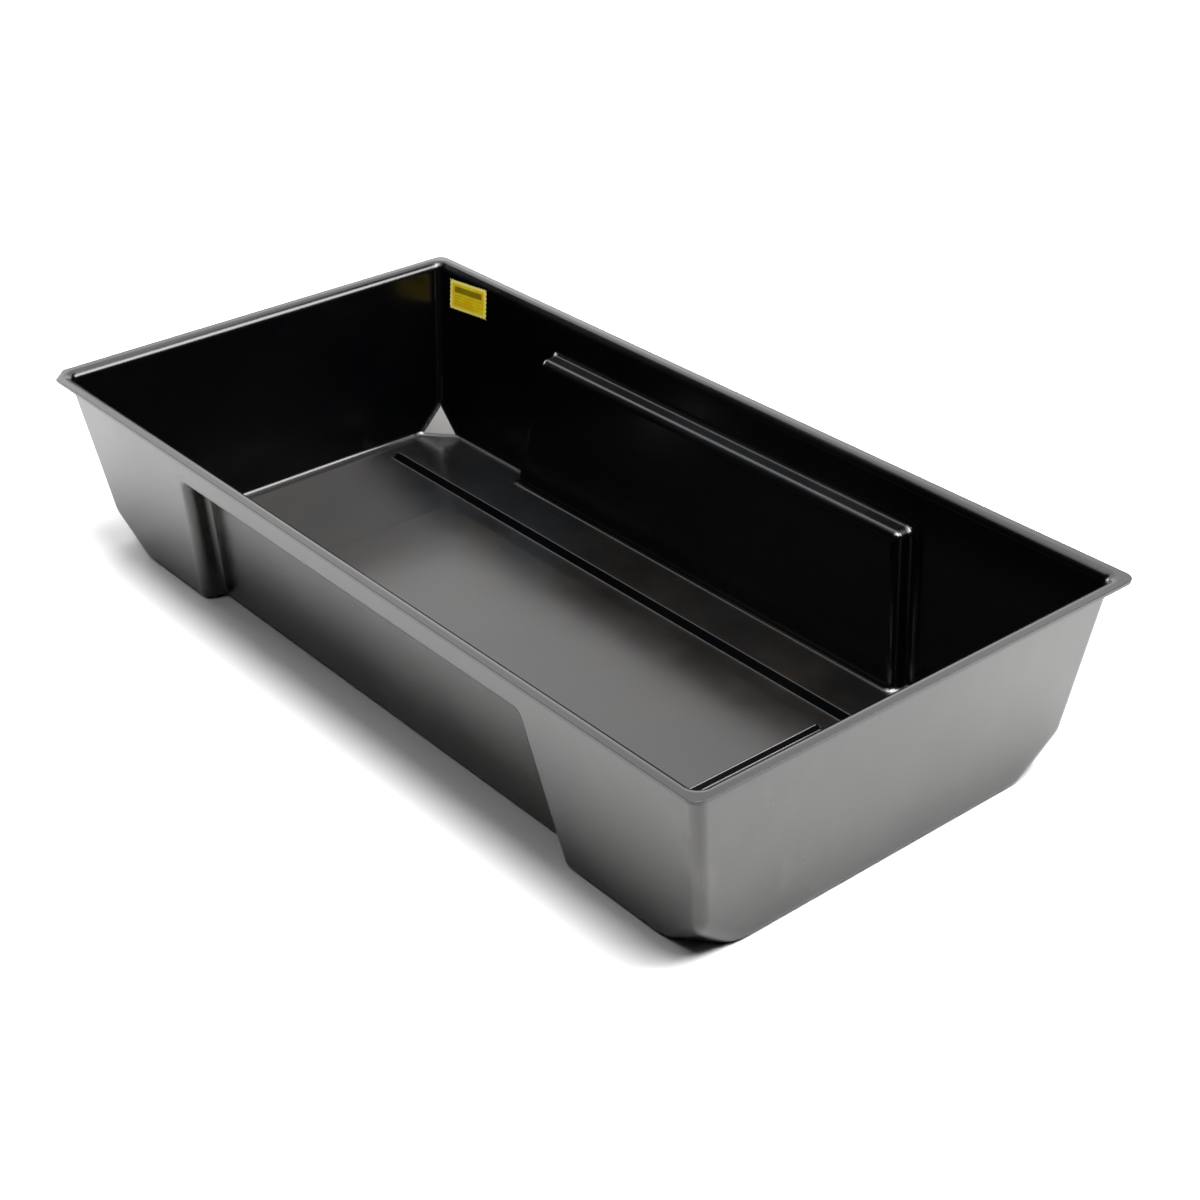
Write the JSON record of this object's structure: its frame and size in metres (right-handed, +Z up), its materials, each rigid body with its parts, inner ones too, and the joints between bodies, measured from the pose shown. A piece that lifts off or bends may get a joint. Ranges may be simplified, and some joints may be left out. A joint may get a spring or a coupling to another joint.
{
  "type": "reservoir tray",
  "caption": "Long shallow vacuum-formed plastic reservoir tray with a narrow rim flange, drafted walls, an inner ledge along each long side, faceted bottom corners, two floor ribs and a raised floor panel.",
  "frame": {"origin": "centre of the underside, on the plane that the tray rests on", "axes": "+X along the length, +Y across the width towards the wall that carries the label, +Z up"},
  "size_m": [1.1, 0.551, 0.2135],
  "materials": {
    "tray_plastic": "gloss black inside, satin black outside",
    "label_film": "printed yellow vinyl with black bars"
  },
  "bodies": {
    "root": {"tray_shell": "tray_plastic", "adhesive_label": "label_film"}
  },
  "joints": []
}
